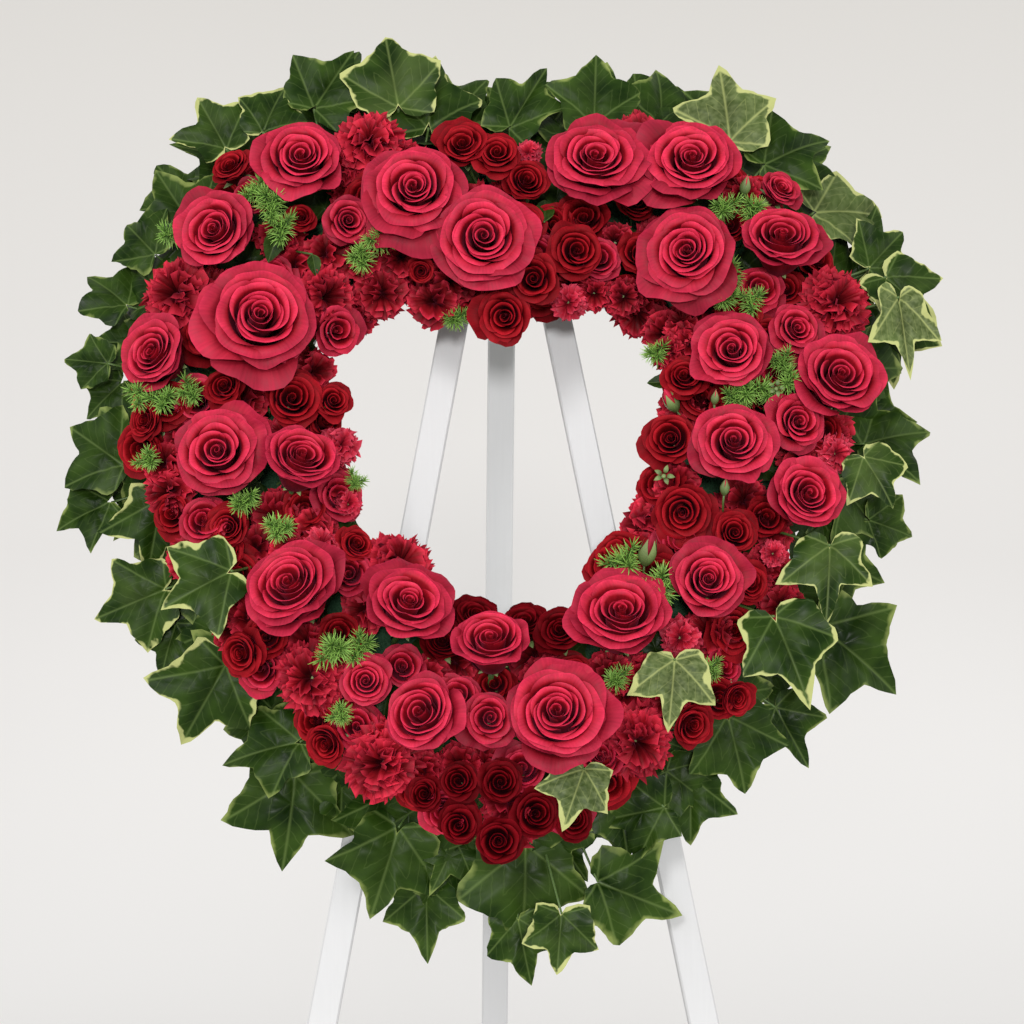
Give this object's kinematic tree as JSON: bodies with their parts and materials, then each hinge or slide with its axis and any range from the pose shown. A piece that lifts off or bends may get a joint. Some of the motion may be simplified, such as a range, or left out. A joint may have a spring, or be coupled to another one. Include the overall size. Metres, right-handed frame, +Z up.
{
  "type": "standing funeral heart arrangement",
  "caption": "Open heart of red roses and carnations edged with ivy, on a foam ring hung from a folding white wooden easel with a hinged rear leg.",
  "frame": {"origin": "on the floor, at the middle of the object's box", "axes": "+Z up, -Y the way the flowers face, +X to the right as seen from the front"},
  "size_m": [0.6489, 0.7071, 1.4392],
  "materials": {
    "white_painted_wood": "satin white paint",
    "zinc_plated_steel": "zinc plated",
    "green_florist_wire": "green enamel",
    "tray_plastic": "matte moulded",
    "floral_foam": "matte, wet",
    "rose_petal": "velvety",
    "carnation_petal": "matte",
    "spray_rose_petal": "velvety",
    "ivy_leaf": "waxy"
  },
  "bodies": {
    "stand": {"carnation_1": "carnation_petal", "carnation_2": "carnation_petal", "carnation_3": "carnation_petal", "carnation_4": "carnation_petal", "carnation_5": "carnation_petal", "carnation_6": "carnation_petal", "carnation_7": "carnation_petal", "carnation_8": "carnation_petal", "carnation_9": "carnation_petal", "cross_rail": "white_painted_wood", "hanger_wire": "green_florist_wire", "hanging_hook": "zinc_plated_steel", "header_board": "white_painted_wood", "heart_foam": "floral_foam", "heart_tray": "tray_plastic", "hinge_leaf_header": "zinc_plated_steel", "hinge_pin": "zinc_plated_steel", "ivy_vine_bottom": "ivy_leaf", "ivy_vine_left": "ivy_leaf", "ivy_vine_lower_left": "ivy_leaf", "ivy_vine_lower_right": "ivy_leaf", "ivy_vine_right": "ivy_leaf", "ivy_vine_top_left": "ivy_leaf", "ivy_vine_top_right": "ivy_leaf", "leg_front_left": "white_painted_wood", "leg_front_right": "white_painted_wood", "rose_01": "rose_petal", "rose_02": "rose_petal", "rose_03": "rose_petal", "rose_04": "rose_petal", "rose_05": "rose_petal", "rose_06": "rose_petal", "rose_07": "rose_petal", "rose_08": "rose_petal", "rose_09": "rose_petal", "rose_10": "rose_petal", "rose_11": "rose_petal", "rose_12": "rose_petal", "rose_13": "rose_petal", "rose_14": "rose_petal", "rose_15": "rose_petal", "rose_16": "rose_petal", "rose_17": "rose_petal", "rose_18": "rose_petal", "rose_19": "rose_petal", "rose_20": "rose_petal", "rose_21": "rose_petal", "rose_22": "rose_petal", "rose_23": "rose_petal", "rose_spray_bottom": "spray_rose_petal", "rose_spray_cleft": "spray_rose_petal", "rose_spray_left": "spray_rose_petal", "rose_spray_right": "spray_rose_petal", "rose_spray_top": "spray_rose_petal", "screw_header_left": "zinc_plated_steel", "screw_header_right": "zinc_plated_steel", "screw_rail_left": "zinc_plated_steel", "screw_rail_right": "zinc_plated_steel"},
    "rear_leg": {"leg_rear": "white_painted_wood", "hinge_leaf_leg": "zinc_plated_steel"}
  },
  "joints": [
    {"name": "rear_leg_fold", "type": "hinge", "parent": "stand", "child": "rear_leg", "pos_m": [0, 0.00597, 1.33039], "axis": [-1, 0, 0], "range_deg": [0, 28]}
  ]
}
